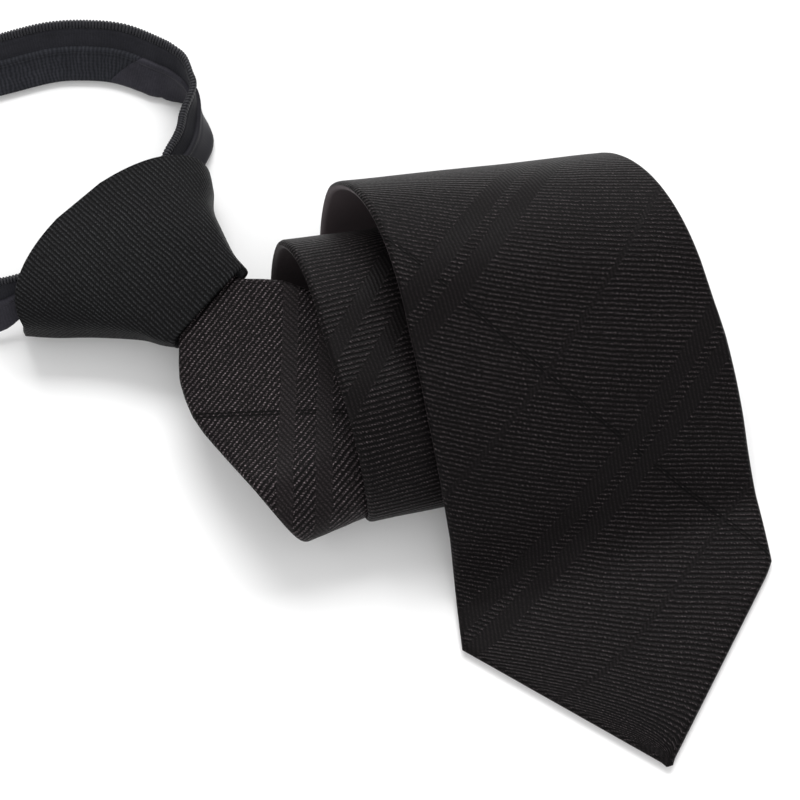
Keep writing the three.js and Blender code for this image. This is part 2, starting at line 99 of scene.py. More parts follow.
WIDTHS = [  # share of the blade's length, share of its full width
    (-0.03, 0.25), (0, 0.27), (0.01, 0.375), (0.018, 0.45), (0.029, 0.508), (0.039, 0.548), (0.051, 0.57),
    (0.072, 0.581), (0.128, 0.606), (0.272, 0.7), (0.412, 0.781), (0.704, 0.879), (0.877, 0.988), (1, 1),
]
FOLD_COLUMNS = ("run", "turn", "skew", "twist", "sway", "layer")
FOLDS = [dict(zip(FOLD_COLUMNS, row)) for row in [
    (0.087, 0, 0, -6, 0, 0),
    (0.024, 10, -18, -6, 0, 0),
    (0.028, 53.5, -18, 0, 0, 0),
    (0.043, 125, -18, 0, 0, 0),
    (0.103, 0, 0, 14.5, 0, 2),
    (0.038, 109.5, -6.5, 0, 0, 0),
    (0.072, 72, -6.5, -0.5, 0, 0),
    (0.036, 0, 0, 0, 2, 0),
    (0.07, 68, -8, -0.5, 4, 0),
    (0.037, 110, -8, 0, 0, 0),
    (0.129, 0, 0, 6.5, 0, 1),
    (0.039, 98, -4.5, 0, 0, 0),
    (0.126, 99, -4.5, 6, 0, 0),
    (0.027, 0, 0, 0, 0, 0),
    (0.064, 24, 0, 3, 1, 0),
    (0.017, 0, 0, 0, 0, 0),
    (0.052, -41.5, 0, 3, -12, 0),
    (0.01, 0, 0, 0, 0, 1),
]]
KNOT_COLUMNS = ("right_at", "right", "left_at", "left", "bulge", "thick", "lift")
KNOT = [dict(zip(KNOT_COLUMNS, row)) for row in [
    (-0.055, -0.216, 0.08, 0.199, 0, 0.32, 1),
    (0.05, -0.25, 0.15, 0.215, 0.02, 0.42, 0.93),
    (0.18, -0.325, 0.275, 0.232, 0.06, 0.6, 0.72),
    (0.3, -0.41, 0.49, 0.304, 0.13, 0.82, 0.3),
    (0.375, -0.503, 0.67, 0.385, 0.205, 0.96, 0.06),
    (0.432, -0.553, 0.805, 0.44, 0.295, 1, 0),
]]
BAND_COLUMNS = ("from", "x", "y", "lean", "high", "lift")
BAND = [dict(zip(BAND_COLUMNS, row)) for row in [
    (0, -0.008, -0.088, -28, 0.58, 0.35),
    (0, -0.004, 0, -28, 0.62, 0.33),
    (0, -0.004, 0.1, -29, 0.7, 0.33),
    (0, 0.016, 0.2, -27, 0.9, 0.08),
    (0, 0.024, 0.274, -25, 1, 0),
    (0, 0.017, 0.433, 4, 1, 0),
    (0, -0.015, 0.51, 28, 1, 0),
    (0, -0.038, 0.54, 38, 1, 0),
    (0, -0.096, 0.6, 42, 1, 0),
    (0, -0.148, 0.614, 41, 1, 0),
    (0, -0.202, 0.606, 40, 1, 0),
    (0, -0.276, 0.556, 39, 1, 0),
    (0, -0.387, 0.475, 34, 1, 0),
    (0, -0.561, 0.357, 26, 1, 0),
    (0, -0.765, 0.239, 18, 1, 0),
    (0, -0.951, 0.107, 10, 1, 0),
    (1, -0.88, 0.247, 2, 1, 0),
    (1, -0.822, 0.011, -6, 1, 0),
    (1, -0.688, -0.1, -14, 1, 0),
    (1, -0.473, -0.114, -22, 1, 0),
    (1, -0.27, -0.072, -30, 1, 0),
    (1, -0.142, -0.05, -36, 1, 0.01),
    (1, -0.055, -0.032, -36, 0.9, 0.11),
    (1, 0, 0.02, -30, 0.64, 0.32),
    (1, 0.044, 0.05, -28, 0.58, 0.34),
]]

# ---- Small helpers


def smooth(x):
    t = min(1, max(0, x))
    return t * t * (3 - 2 * t)


def look_up(rows, place):
    keys = [row[0] for row in rows]
    i = min(len(rows) - 1, max(1, bisect_right(keys, place)))
    (x0, y0), (x1, y1) = rows[i - 1], rows[i]
    share = min(1, max(0, (place - x0) / (x1 - x0)))
    return y0 + share * (y1 - y0)


def turned(vector, axis, angle):
    return Matrix.Rotation(angle, 3, axis) @ vector


def signed_power(value, exponent):
    return (1 if value >= 0 else -1) * abs(value) ** exponent


# ---- The blade's path, worked out as in the part's source

Frame = namedtuple("Frame", "at skew place along up side")
STEP = 1
RULING_ROUNDS = 10  # rounds that find the straight line of the cloth on which a point lies
FLOOR_EASE = 0.04  # how gently the blade comes to lie on the surface
TIP_WIDTH = 0.02  # least share of the blade's width, at its tip


def blade_frames():
    """Frames along the blade's middle line, a step apart: its place, its directions and its skew."""
    h, p = MOUTH_HEADING, MOUTH_RISE
    along = Vector((cos(h) * cos(p), sin(h) * cos(p), sin(p)))
    up = turned(Vector((-cos(h) * sin(p), -sin(h) * sin(p), cos(p))), along, MOUTH_BANK)
    side = along.cross(up)
    place = MOUTH_AT.copy()
    rows = []
    at = 0
    for i, fold in enumerate(FOLDS):
        length = fold["run"] * BLADE_LENGTH
        bent = fold["turn"] != 0
        own = radians(fold["skew"])
        before = own if bent or i == 0 else radians(FOLDS[i - 1]["skew"])
        after = own if bent or i == len(FOLDS) - 1 else radians(FOLDS[i + 1]["skew"])
        count = max(1, round(length / STEP))
        for k in range(count):
            skew = before + (after - before) * k / count
            rows.append(Frame(at, skew, place.copy(), along.copy(), up.copy(), side.copy()))
            axis = side + along * tan(before + (after - before) * (k + 0.5) / count)
            angle = -radians(fold["turn"]) / count
            place += turned(along, axis, angle / 2) * (length / count)
            twist = radians(fold["twist"]) / count
            along = turned(along, axis, angle)
            up = turned(turned(up, axis, angle), along, twist)
            side = turned(turned(side, axis, angle), along, twist)
            sway = radians(fold["sway"]) / count
            along, side = turned(along, up, sway), turned(side, up, sway)
            at += length / count
    rows.append(Frame(at, 0, place.copy(), along.copy(), up.copy(), side.copy()))
    return rows


path = blade_frames()
path_at = [row.at for row in path]
fold_starts = [0]
for fold in FOLDS:
    fold_starts.append(fold_starts[-1] + fold["run"] * BLADE_LENGTH)


def path_frame(at):
    """Place, directions and skew at a length along the blade, and how far past its ends that length is."""
    i = min(len(path) - 2, max(0, bisect_right(path_at, at) - 1))
    a, b = path[i], path[i + 1]
    share = min(1, max(0, (at - a.at) / (b.at - a.at)))
    over = at if at < 0 else max(0, at - path_at[-1])
    skew = a.skew + (b.skew - a.skew) * share
    return a.place.lerp(b.place, share), a.along.lerp(b.along, share), a.side.lerp(b.side, share), skew, over


def layer_height(layer):
    """Height of the middle of the cloth where it is the first, second or third layer from the surface."""
    return CLOTH / 2 + (layer - 1) * (CLOTH + TURN_GAP)


def blade_point(at, across):
    """Point of the bent cloth. Where a row of the folds names a layer, the cloth is brought level with it."""
    ruled = at
    for _ in range(RULING_ROUNDS):
        ruled = 0.5 * ruled + 0.5 * (at - across * tan(path_frame(ruled)[3]))
    place, along, side, skew, over = path_frame(ruled)
    point = place + along * (over + across * tan(skew)) + side * across
    for i, fold in enumerate(FOLDS):
        if not fold["layer"]:
            continue
        start, end = fold_starts[i], fold_starts[i + 1]
        rising = smooth((at - fold_starts[i - 1]) / (start - fold_starts[i - 1]))
        falling = 1
        if i < len(FOLDS) - 1:
            falling = 1 - smooth((at - end) / (fold_starts[i + 2] - end))
        point.z += (layer_height(fold["layer"]) - point.z) * rising * falling
    over = point.z - layer_height(1)
    point.z = layer_height(1) + 0.5 * (over + sqrt(over * over + FLOOR_EASE))
    return point


def cut_place(at, across):
    """Place in the cloth when the blade's end is cut askew: along it and across it."""
    share = smooth((at - BLADE_LENGTH) / SLANT_REACH + 1)
    over = max(0, at - BLADE_LENGTH)
    slant = radians(POINT_SLANT)
    along = min(at, BLADE_LENGTH) + over * cos(slant) + across * sin(slant) * share
    return along, across - over * sin(slant)


def cut_point(at, across):
    """Point of the bent cloth, with its end cut askew."""
    return blade_point(*cut_place(at, across))


def blade_width(at):
    if at > BLADE_LENGTH:
        return BLADE_WIDTH * max(TIP_WIDTH, 1 - (at - BLADE_LENGTH) / POINT_LENGTH)
    return BLADE_WIDTH * look_up(WIDTHS, at / BLADE_LENGTH)


# ---- Meshes


def mesh_object(name, points, faces, weave, shift):
    """A piece of the tie. weave holds each point's place in its cloth, which the materials read."""
    mesh = bpy.data.meshes.new(name)
    mesh.from_pydata([(p + shift) * MM for p in points], [], faces)
    mesh.validate()
    mesh.update()
    attribute = mesh.attributes.new("weave", "FLOAT_VECTOR", "POINT")
    for i, value in enumerate(weave):
        attribute.data[i].vector = value
    mesh.shade_smooth()
    item = bpy.data.objects.new(name, mesh)
    bpy.context.scene.collection.objects.link(item)
    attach(item, "root")
    return item


def ring_faces(rings, count):
    faces = []
    for r in range(rings - 1):
        for k in range(count):
            a, b = r * count + k, r * count + (k + 1) % count
            faces.append((a, b, b + count, a + count))
    return faces


def end_caps(rings, count):
    """Quads that close the first and last ring of an even loft whose rings run out and back."""
    faces = []
    last = (rings - 1) * count
    for k in range(count // 2 - 1):
        far = count - 1 - k
        faces.append((k, far, far - 1, k + 1))
        faces.append((last + k + 1, last + far - 1, last + far, last + k))
    return faces


def lofted(name, rings, weave, shift):
    count = len(rings[0])
    points = [p for ring in rings for p in ring]
    faces = ring_faces(len(rings), count) + end_caps(len(rings), count)
    return mesh_object(name, points, faces, [w for row in weave for w in row], shift)


# Blade

EDGE_ROUND = 1.5  # radius of the blade's folded edges
EDGE_THIN = 0.12  # least share of the thickness, at the edges
END_THIN = 0.35  # and at the tip
ACROSS_COUNT = 30
EDGE_COUNT = 5
AT_STEP = 1.6
POINT_COUNT = 30
TIP_GAP = 0.4  # the last section stops short of the tip
SLOPE_REACH = 0.6  # distance over which the cloth's slope is read
RIPPLE, RIPPLE_SIZE = 0.22, 19  # height of the cloth's faint ripples, and how far apart they are
FRONT_INSET = 0.12
SEAM_RISE = 0.35  # the lap of cloth down the blade's back
LAP_HALF = 0.6  # half the width over which it rises
TIP_THIN = 2  # over which the cloth thins towards the tip


def across_places(half):
    """Places across the blade, closer together in its rounded edges, with the share of thickness at each."""
    edge = min(EDGE_ROUND, 0.7 * half)
    flat = half - edge
    places = []
    for k in range(EDGE_COUNT):
        angle = pi / 2 * (1 - k / EDGE_COUNT)
        places.append((-flat - edge * sin(angle), max(EDGE_THIN, cos(angle))))
    for k in range(ACROSS_COUNT + 1):
        places.append((-flat + 2 * flat * k / ACROSS_COUNT, 1))
    return places + [(-a, t) for a, t in reversed(places[:EDGE_COUNT])]


def woven_lengths(line, before, lengths):
    """Lengths along the bent cloth itself at the next line of points, so that the pattern isn't stretched."""
    squares = [(p - q).length ** 2 - (a - b) ** 2 for (p, a), (q, b) in zip(line, before)]
    return [length + sqrt(max(0, square)) for length, square in zip(lengths, squares)]


def blade_mesh(shift):
    stations = []
    at = -TUCK
    while at < BLADE_LENGTH:
        stations.append(at)
        at += AT_STEP
    stations += [BLADE_LENGTH + (POINT_LENGTH - TIP_GAP) * k / POINT_COUNT for k in range(POINT_COUNT + 1)]
    rings, weave = [], []
    lengths, before = None, None
    for at in stations:
        half = blade_width(at) / 2
        front, back, front_weave, back_weave = [], [], [], []
        places = across_places(half)
        line = [(cut_point(at, across), cut_place(at, across)[1]) for across, thick in places]
        lengths = woven_lengths(line, before, lengths) if before else [at] * len(line)
        before = line
        for (across, thick), (point, sideways), length in zip(places, line, lengths):
            ahead = cut_point(at + SLOPE_REACH, across) - cut_point(at - SLOPE_REACH, across)
            aside = cut_point(at, across + SLOPE_REACH) - cut_point(at, across - SLOPE_REACH)
            normal = aside.cross(ahead).normalized()
            near_end = smooth((BLADE_LENGTH + POINT_LENGTH - at) / TIP_THIN)
            share = thick * (END_THIN + (1 - END_THIN) * near_end)
            ripple = RIPPLE * noise.noise(Vector((across, at, 3)) / RIPPLE_SIZE) * thick
            lap = SEAM_RISE * smooth((across + LAP_HALF) / (2 * LAP_HALF)) * thick
            front.append(point + normal * (0.5 * share * CLOTH - FRONT_INSET + ripple))
            back.insert(0, point - normal * (0.5 * share * CLOTH - SEAM_RISE + lap * 0.5 - ripple))
            front_weave.append((sideways, length, 0))
            back_weave.insert(0, (sideways, length, 1))
        rings.append(front + back)
        weave.append(front_weave + back_weave)
    return lofted("blade_cloth", rings, weave, shift)


# Knot

KNOT_SIDES = 120
KNOT_STEPS = 44
RIM_STEPS = 4
RIM_SWELL = 0.8  # how far the mouth's rim is rounded out
NECK_SWELL = 0.9  # the neck side's share of that
knot_axis = Vector((cos(radians(KNOT_HEADING)), sin(radians(KNOT_HEADING)), 0))
knot_side = Vector((-knot_axis.y, knot_axis.x, 0))


def knot_row(place):
    """The knot's table read along a smooth curve. place is 0 at the mouth and 1 at the neck side."""
    x = place * (len(KNOT) - 1)
    i = min(len(KNOT) - 2, int(x))
    t = x - i
    rows = [KNOT[min(len(KNOT) - 1, max(0, i + k))] for k in (-1, 0, 1, 2)]
    out = {}
    for column in KNOT_COLUMNS:
        a, b, c, d = (row[column] for row in rows)
        out[column] = 0.5 * (2 * b + (c - a) * t + (2 * a - 5 * b + 4 * c - d) * t * t
                             + (3 * b - a - 3 * c + d) * t ** 3)
    return out


def knot_ring(row, wall):
    """One section of the knot, a wall's thickness inside its outline, and each point's place round it."""
    height = max(MOUTH_HEIGHT, row["thick"] * KNOT_THICK)
    lift = min(1, max(0, row["lift"]))
    rest = max(lift * MOUTH_AT.z + (1 - lift) * KNOT_THICK / 2, height / 2)
    base = Vector((MOUTH_AT.x, MOUTH_AT.y, rest))
    right = base + knot_axis * row["right_at"] * KNOT_LENGTH + knot_side * row["right"] * KNOT_WIDTH
    left = base + knot_axis * row["left_at"] * KNOT_LENGTH + knot_side * row["left"] * KNOT_WIDTH
    tilt = tan(MOUTH_BANK) * lift
    half = (left - right).length / 2
    direction = (left - right).normalized()
    bow = Vector((direction.y, -direction.x, 0))
    if bow.dot(knot_axis) < 0:
        bow.negate()
    up = Vector((0, 0, 1)).lerp(path[0].up, lift).normalized()
    ring, places = [], []
    for k in range(KNOT_SIDES):
        angle = 2 * pi * (k + 0.5) / KNOT_SIDES
        across = signed_power(cos(angle), 2 / SECTION_POWER)
        rise = signed_power(sin(angle), 2 / SECTION_POWER)
        bowed = (1 - abs(across) ** BOW_POWER) ** (1 / BOW_POWER)
        point = (right + left) / 2 + direction * across * (half - wall)
        point += bow * bowed * max(0, row["bulge"] * KNOT_LENGTH)
        point += up * rise * (height / 2 - wall)
        point.z -= tilt * across * (half - wall)
        ring.append(point)
        drop = height / 2 * (1 - rise)
        places.append((point - MOUTH_AT).dot(knot_side) + (drop if across > 0 else -drop))
    return ring, places


def knot_weave(ring, places, side):
    return [((p - MOUTH_AT).dot(knot_axis), place, side) for p, place in zip(ring, places)]


def rim(a, b, outwards):
    """Rings that round off the edge between the knot's outer and inner surface."""
    rings = []
    for step in range(1, RIM_STEPS):
        angle = pi * step / RIM_STEPS
        share = (1 - cos(angle)) / 2
        swell = outwards * sin(angle) * RIM_SWELL
        rings.append([p.lerp(q, share) + swell for p, q in zip(a, b)])
    return rings


def knot_mesh(shift):
    outer, inner, weave_out, weave_in = [], [], [], []
    for k in range(KNOT_STEPS + 1):
        place = k / KNOT_STEPS
        row = knot_row(place)
        wall = LIP_WALL + (KNOT_WALL - LIP_WALL) * (1 - min(1, max(0, row["lift"])))
        out_ring, places = knot_ring(row, 0)
        in_ring, _ = knot_ring(row, wall)
        outer.append(out_ring)
        inner.append(in_ring)
        weave_out.append(knot_weave(out_ring, places, 0))
        weave_in.append(knot_weave(in_ring, places, 1))
    mouth_rim = rim(inner[0], outer[0], path[0].along)
    neck_rim = rim(outer[-1], inner[-1], knot_axis * NECK_SWELL)
    rings = outer + neck_rim + inner[::-1] + mouth_rim
    weave = weave_out + [weave_out[-1]] * len(neck_rim) + weave_in[::-1] + [weave_out[0]] * len(mouth_rim)
    points = [p for ring in rings for p in ring]
    faces = ring_faces(len(rings), KNOT_SIDES)
    last = (len(rings) - 1) * KNOT_SIDES
    for k in range(KNOT_SIDES):
        n = (k + 1) % KNOT_SIDES
        faces.append((last + k, last + n, n, k))
    flat_weave = [w for row in weave for w in row]
    return mesh_object("knot_cloth", points, faces, flat_weave, shift)


# Neck band: the same line as in the part's source, a centripetal spline


def corner(along, across, inset):
    """Where the neck band enters the knot, on the surface."""
    place = MOUTH_AT + knot_axis * along * KNOT_LENGTH + knot_side * (across * KNOT_WIDTH + inset)
    return Vector((place.x, place.y, 0))


neck_row = KNOT[-1]
right_corner = corner(neck_row["right_at"] + CORNER_BACK, neck_row["right"], CORNER_INSET)
left_corner = corner(neck_row["left_at"] + CORNER_BACK, neck_row["left"], -CORNER_INSET)
band_knots = [
    right_corner.lerp(left_corner, row["from"]) + Vector((row["x"] * BAND_REACH, row["y"] * BAND_SPAN, 0))
    for row in BAND
]


def band_spline(share):
    last = len(band_knots) - 1
    x = share * last
    i = min(last - 1, floor(x))
    t = x - i
    p1, p2 = band_knots[i], band_knots[i + 1]
    p0 = band_knots[i - 1] if i > 0 else 2 * p1 - p2
    p3 = band_knots[i + 2] if i + 2 <= last else 2 * p2 - p1
    d0, d1, d2 = (max(1e-4, (b - a).length) ** 0.5 for a, b in ((p0, p1), (p1, p2), (p2, p3)))
    out = ((p1 - p0) / d0 - (p2 - p0) / (d0 + d1) + (p2 - p1) / d1) * d1
    into = ((p2 - p1) / d1 - (p3 - p1) / (d1 + d2) + (p3 - p2) / d2) * d1
    return (p1 + out * t + (3 * (p2 - p1) - 2 * out - into) * t * t
            + (2 * (p1 - p2) + out + into) * t ** 3)


BAND_SAMPLES = 400
BAND_AHEAD = 0.002  # share of the band over which its direction is read
band_samples = [band_spline(k / BAND_SAMPLES) for k in range(BAND_SAMPLES + 1)]
band_at = [0]
for a, b in zip(band_samples, band_samples[1:]):
    band_at.append(band_at[-1] + (b - a).length)
band_length = band_at[-1]
band_stops = []
for i, row in enumerate(BAND):
    place = i / (len(BAND) - 1) * BAND_SAMPLES
    below = min(BAND_SAMPLES - 1, int(place))
    band_stops.append(band_at[below] + (place - below) * (band_at[below + 1] - band_at[below]))


def band_place(at):
    """Place on the band's line and its direction, at a length along it."""
    at = min(band_length, max(0, at))
    i = min(BAND_SAMPLES - 1, max(0, bisect_right(band_at, at) - 1))
    share = (i + (at - band_at[i]) / (band_at[i + 1] - band_at[i])) / BAND_SAMPLES
    ahead = band_spline(min(1, share + BAND_AHEAD)) - band_spline(max(0, share - BAND_AHEAD))
    return band_spline(share), ahead.normalized()


def band_value(column, at):
    """A column of the band's table, read between its rows at a length along the band."""
    i = min(len(BAND) - 1, max(1, bisect_right(band_stops, at)))
    share = smooth((at - band_stops[i - 1]) / (band_stops[i] - band_stops[i - 1]))
    return BAND[i - 1][column] + (BAND[i][column] - BAND[i - 1][column]) * share


def band_point(at, high, out):
    """Point of the neck band. high is 0 at its foot and 1 at the teeth's edge, out is from its middle."""
    place, along = band_place(at)
    outward = Vector((along.y, -along.x, 0)).normalized()
    lean = radians(band_value("lean", at))
    height = band_value("high", at) * BAND_HEIGHT
    upward = outward * sin(lean) + Vector((0, 0, cos(lean)))
    across = outward * cos(lean) - Vector((0, 0, sin(lean)))
    place.z = band_value("lift", at) * BAND_HEIGHT + height / 2 * cos(lean) + BAND_THICK / 2 * abs(sin(lean))
    return place + upward * (high - 0.5) * height + across * out


TAPE_TOP = 1 - (TEETH_WIDTH + CLEAR) / BAND_HEIGHT
TAPE_FOOT = TAPE_TOP - TAPE_WIDTH / BAND_HEIGHT
CLOTH_TOP = TAPE_FOOT - CLEAR / BAND_HEIGHT
PLAIN_TOP = 0.94
BAND_STEP = 1.5
ROLL = 1.9  # height of the cloth's rolled upper edge
RISE_LENGTH = 25  # over which the plain band rises to its full height behind the zipper
SEAM_FADE = 15  # over which the sections turn from slanted, at a seam, to upright
BAND_FOOT = [  # share of the height, half thickness
    (0, 0.35), (0.01, 0.75), (0.03, 1.05),
]
FLAT_FROM = 0.08  # share of the height where the section's flat begins
FLAT_LESS = 0.13  # share of the height that the flat leaves to the foot and the roll
FLAT_COUNT = 8
ROLL_COUNT = 7


def cloth_section(top):
    """Half the band's section, from its foot to its rolled edge: share of the height, half thickness."""
    roll = ROLL / BAND_HEIGHT
    half = BAND_THICK / 2
    rows = BAND_FOOT + [(FLAT_FROM, half * 0.92)]
    for k in range(1, FLAT_COUNT + 1):
        high = FLAT_FROM + (top - roll - FLAT_LESS) * k / FLAT_COUNT
        rows.append((high, half * (0.92 - 0.1 * sin(pi * k / FLAT_COUNT))))
    rows.append((top - roll, half * 0.8))
    for k in range(1, ROLL_COUNT):
        angle = pi * k / ROLL_COUNT
        high = top - roll * (0.5 + 0.5 * cos(angle))
        closing = 0.55 if k == ROLL_COUNT - 1 else 1
        rows.append((high, half * (0.72 + 0.42 * sin(angle)) * closing))
    return rows


def band_ring(rows, place_of):
    """One section of the band, up its outer side and down its inner one, and its places in the weave."""
    outer = [band_point(place_of(h), h, o) for h, o in rows]
    inner = [band_point(place_of(h), h, -o) for h, o in rows]
    outer_weave = [(h * BAND_HEIGHT, place_of(h), 0) for h, o in rows]
    inner_weave = [(h * BAND_HEIGHT, place_of(h), 1) for h, o in rows]
    return outer + inner[::-1], outer_weave + inner_weave[::-1]


def cloth_mesh(name, start, end, slant_start, slant_end, shift):
    """The folded cloth of the band. slant_start and slant_end are how far it is cut askew at a seam."""
    count = int((end - start) / BAND_STEP) + 1
    rings, weave = [], []
    for k in range(count + 1):
        at = start + (end - start) * k / count
        from_zip = min(at, band_length - at) - ZIP_LENGTH
        top = CLOTH_TOP + (PLAIN_TOP - CLOTH_TOP) * smooth(from_zip / RISE_LENGTH)
        rows = cloth_section(top)

        def slanted(high):
            by_start = slant_start * smooth(1 - (at - start) / SEAM_FADE)
            by_end = slant_end * smooth(1 - (end - at) / SEAM_FADE)
            return at + (0.5 - high / top) * SEAM_SLANT * (by_start + by_end)

        ring, places = band_ring(rows, slanted)
        rings.append(ring)
        weave.append(places)
    return lofted(name, rings, weave, shift)


TAPE_HEM = 1.6  # how far the tape goes on inside the cloth
TAPE_FOLD = 0.6  # and up inside the teeth
TAPE_COUNT = 10
TAPE_HALF = {0: 0.25, 8: 0.75, 10: 0.3}  # half thickness at its edges and at the cord beside the teeth


def tape_mesh(name, start, end, shift):
    """The woven tape between the cloth and the teeth, thicker along the cord that carries them."""
    count = int((end - start) / BAND_STEP) + 1
    foot = TAPE_FOOT - TAPE_HEM / BAND_HEIGHT
    top = TAPE_TOP + TAPE_FOLD / BAND_HEIGHT
    rows = []
    for k in range(TAPE_COUNT + 1):
        rows.append((foot + (top - foot) * k / TAPE_COUNT, TAPE_HALF.get(k, TAPE_THICK / 2)))
    rings, weave = [], []
    for k in range(count + 1):
        at = start + (end - start) * k / count
        ring, places = band_ring(rows, lambda high: at)
        rings.append(ring)
        weave.append(places)
    return lofted(name, rings, weave, shift)


TOOTH_SIDES = 8
TOOTH_REACH = 0.6  # half a tooth's width as a share of the pitch: neighbours overlap a little
TOOTH_POWER = 0.7  # squareness of its section
TOOTH_ROOT = 0.1  # how far it reaches down over the tape's edge
TOOTH = [  # share of its height, share of its width
    (0, 0.8), (0.3, 1.0), (0.6, 0.97), (0.8, 0.84), (0.94, 0.55),
]


def teeth_mesh(name, start, end, shift):
    """A coil of close teeth, each a rounded block across the tape's edge."""
    count = int((end - start) / TOOTH_PITCH)
    foot, top = TAPE_TOP - TOOTH_ROOT / BAND_HEIGHT, 1.0
    points, faces, weave = [], [], []
    for k in range(count):
        middle = start + (k + 0.5) * TOOTH_PITCH
        base = len(points)
        for share, reach in TOOTH:
            high = foot + (top - foot) * share
            for j in range(TOOTH_SIDES):
                angle = 2 * pi * (j + 0.5) / TOOTH_SIDES
                wide, deep = signed_power(cos(angle), TOOTH_POWER), signed_power(sin(angle), TOOTH_POWER)
                at = middle + TOOTH_PITCH * TOOTH_REACH * reach * wide
                out = TEETH_THICK / 2 * reach * deep
                points.append(band_point(at, high, out))
                weave.append((high * BAND_HEIGHT, at, 0))
        for r in range(len(TOOTH) - 1):
            for j in range(TOOTH_SIDES):
                a, b = base + r * TOOTH_SIDES + j, base + r * TOOTH_SIDES + (j + 1) % TOOTH_SIDES
                faces.append((a, b, b + TOOTH_SIDES, a + TOOTH_SIDES))
        faces.append(tuple(base + j for j in range(TOOTH_SIDES))[::-1])
        faces.append(tuple(base + (len(TOOTH) - 1) * TOOTH_SIDES + j for j in range(TOOTH_SIDES)))
    return mesh_object(name, points, faces, weave, shift)


# ---- Pieces

# The part's origin is the middle of its box: the knot's outline gives how far that is from this frame's
knot_low = [min(p[i] for row in KNOT for p in knot_ring(row, 0)[0]) for i in (0, 1)]
node_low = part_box("knot")[0]
SHIFT = Vector((node_low[0] / MM - knot_low[0], node_low[1] / MM - knot_low[1], 0))

blade = blade_mesh(SHIFT)
knot = knot_mesh(SHIFT)
seam_left = band_length - SEAM_AT
strap_right = cloth_mesh("strap_right_cloth", 0, SEAM_AT + SEAM_LAP, 0, 1, SHIFT)
strap_back = cloth_mesh("strap_back_cloth", SEAM_AT, seam_left, 1, -1, SHIFT)
strap_left = cloth_mesh("strap_left_cloth", seam_left - SEAM_LAP, band_length, -1, 0, SHIFT)
tape_right = tape_mesh("zip_tape_right_cloth", 0, ZIP_LENGTH, SHIFT)
tape_left = tape_mesh("zip_tape_left_cloth", band_length - ZIP_LENGTH, band_length, SHIFT)
teeth_right = teeth_mesh("zip_teeth_right_coil", 0, ZIP_LENGTH, SHIFT)
teeth_left = teeth_mesh("zip_teeth_left_coil", band_length - ZIP_LENGTH, band_length, SHIFT)

for piece, node in [
    (blade, "blade"), (knot, "knot"), (strap_right, "strap_right"), (strap_back, "strap_back"),
    (strap_left, "strap_left"), (tape_right, "zip_tape_right"), (tape_left, "zip_tape_left"),
    (teeth_right, "zip_teeth_right"), (teeth_left, "zip_teeth_left"),
]:
    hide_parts(node)

# ---- Materials


class Nodes:
    """Short calls for building a material's nodes."""

    def __init__(self, name):
        self.material = bpy.data.materials.new(name)
        self.material.use_nodes = True
        self.tree = self.material.node_tree
        self.shader = self.tree.nodes["Principled BSDF"]

    def put(self, socket, value):
        if isinstance(value, bpy.types.NodeSocket):
            self.tree.links.new(value, socket)
        else:
            socket.default_value = value

    def math(self, operation, a, b=0.0, c=0.0):
        node = self.tree.nodes.new("ShaderNodeMath")
        node.operation = operation
        for socket, value in zip(node.inputs, (a, b, c)):
            self.put(socket, value)
        return node.outputs[0]

    def step(self, value, low, high):
        """From 0 at low to 1 at high, smoothly."""
        node = self.tree.nodes.new("ShaderNodeMapRange")
        node.interpolation_type = "SMOOTHSTEP"
        self.put(node.inputs["Value"], value)
        self.put(node.inputs["From Min"], low)
        self.put(node.inputs["From Max"], high)
        return node.outputs["Result"]

    def weave(self):
        """Place across and along the cloth in millimetres, and its side: 0 for the face, 1 for the back."""
        node = self.tree.nodes.new("ShaderNodeAttribute")
        node.attribute_name = "weave"
        split = self.tree.nodes.new("ShaderNodeSeparateXYZ")
        self.put(split.inputs[0], node.outputs["Vector"])
        return split.outputs[0], split.outputs[1], split.outputs[2], node.outputs["Vector"]

    def noise(self, vector, scale, detail=2.0, stretch=(1, 1, 1)):
        mapping = self.tree.nodes.new("ShaderNodeMapping")
        mapping.inputs["Scale"].default_value = stretch
        self.put(mapping.inputs["Vector"], vector)
        node = self.tree.nodes.new("ShaderNodeTexNoise")
        self.put(node.inputs["Vector"], mapping.outputs[0])
        node.inputs["Scale"].default_value = scale
        node.inputs["Detail"].default_value = detail
        return node.outputs["Fac"]

    def mix(self, factor, a, b):
        node = self.tree.nodes.new("ShaderNodeMix")
        node.data_type = "RGBA"
        node.clamp_factor = False
        self.put(node.inputs["Factor"], factor)
        self.put(node.inputs["A"], a)
        self.put(node.inputs["B"], b)
        return node.outputs["Result"]

    def wave(self, value, period, offset=0.0):
        """From 0 to 1 and back once a period."""
        turn = self.math("MULTIPLY_ADD", value, 2 * pi / period, offset)
        return self.math("MULTIPLY_ADD", self.math("SINE", turn), 0.5, 0.5)

    def blend(self, factor, a, b):
        node = self.tree.nodes.new("ShaderNodeMix")
        self.put(node.inputs["Factor"], factor)
        self.put(node.inputs["A"], a)
        self.put(node.inputs["B"], b)
        return node.outputs["Result"]

    def bump(self, height, strength, distance):
        node = self.tree.nodes.new("ShaderNodeBump")
        node.inputs["Strength"].default_value = strength
        node.inputs["Distance"].default_value = distance * MM
        self.put(node.inputs["Height"], height)
        self.put(self.shader.inputs["Normal"], node.outputs["Normal"])


# Sizes of the woven pattern in millimetres
RIB = 1.28  # from one twill rib to the next on the blade
KNOT_RIB = 1.15  # and on the knot
FINE_RIB = 1.0  # and in the plaid's bands, where the twill runs the other way
FLOAT = 0.66  # length of a yarn's float along a rib
LINE_OFF = 0.62  # half the distance between the two thin dark grooves
LINE_HALF = (0.42, 0.22)  # half a groove's width, to the outside and inside of its soft edge
BAND_HALF = (3.2, 2.7)  # half a band's width, in the same way
PIECE_END = 300  # where the blade's two pieces of cloth are joined, hidden in the roll

